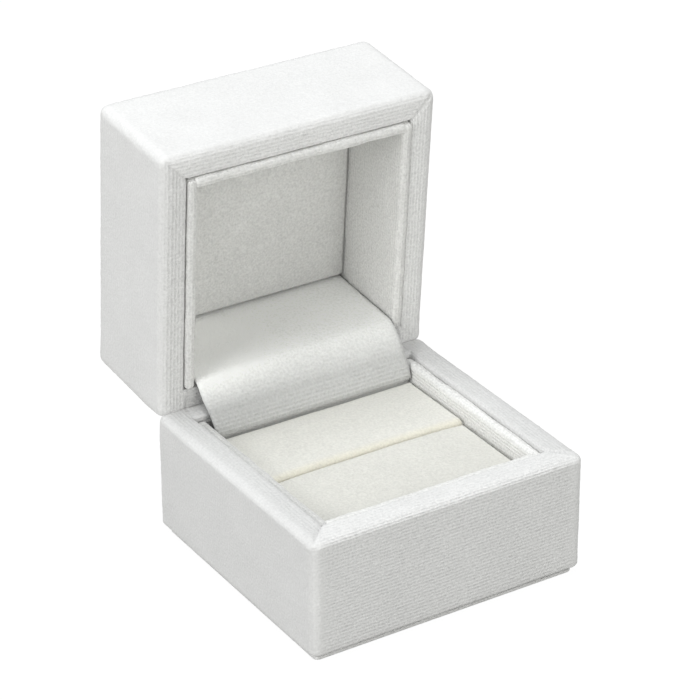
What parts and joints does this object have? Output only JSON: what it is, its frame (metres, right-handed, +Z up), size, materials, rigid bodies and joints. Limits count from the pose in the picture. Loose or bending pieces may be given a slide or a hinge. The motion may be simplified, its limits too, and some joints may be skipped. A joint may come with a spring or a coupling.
{
  "type": "velvet ring box",
  "caption": "Square white velvet ring box with a hinged lid that stands open, padded linings, a slotted ring cushion and a velvet flap over the hinge.",
  "frame": {"origin": "centre of the underside of the base", "axes": "+X to the right seen from the front, +Y to the hinge side at the back, +Z up"},
  "size_m": [0.061, 0.0826, 0.0858],
  "materials": {
    "white_velvet": "short pile velvet",
    "lining_velvet": "short pile velvet over card",
    "cream_velvet": "soft velvet",
    "grey_board": "raw fibre board",
    "white_foam": "soft foam",
    "hinge_steel": "plain strip steel"
  },
  "bodies": {
    "base": {"base_bottom_panel": "white_velvet", "base_floor_board": "grey_board", "base_front_board": "grey_board", "base_rear_board": "grey_board", "base_left_board": "grey_board", "base_right_board": "grey_board", "base_cover": "white_velvet", "base_front_lining": "lining_velvet", "base_left_lining": "lining_velvet", "base_right_lining": "lining_velvet", "front_pad_foam": "white_foam", "front_pad_cover": "cream_velvet", "rear_pad_foam": "white_foam", "rear_pad_cover": "cream_velvet", "hinge_base_leaf": "hinge_steel", "hinge_pin": "hinge_steel", "hinge_spring": "hinge_steel", "hinge_flap": "white_velvet"},
    "lid": {"lid_top_board": "grey_board", "lid_front_board": "grey_board", "lid_rear_board": "grey_board", "lid_left_board": "grey_board", "lid_right_board": "grey_board", "lid_cover": "white_velvet", "lid_front_lining": "lining_velvet", "lid_left_lining": "lining_velvet", "lid_right_lining": "lining_velvet", "lid_pad_card": "grey_board", "lid_pad": "lining_velvet", "hinge_lid_leaf": "hinge_steel"}
  },
  "joints": [
    {"name": "lid_hinge", "type": "hinge", "parent": "base", "child": "lid", "pos_m": [0, 0.02795, 0.02695], "axis": [1, 0, 0], "range_deg": [0, 85], "deforming": ["hinge_flap", "hinge_spring"]}
  ]
}
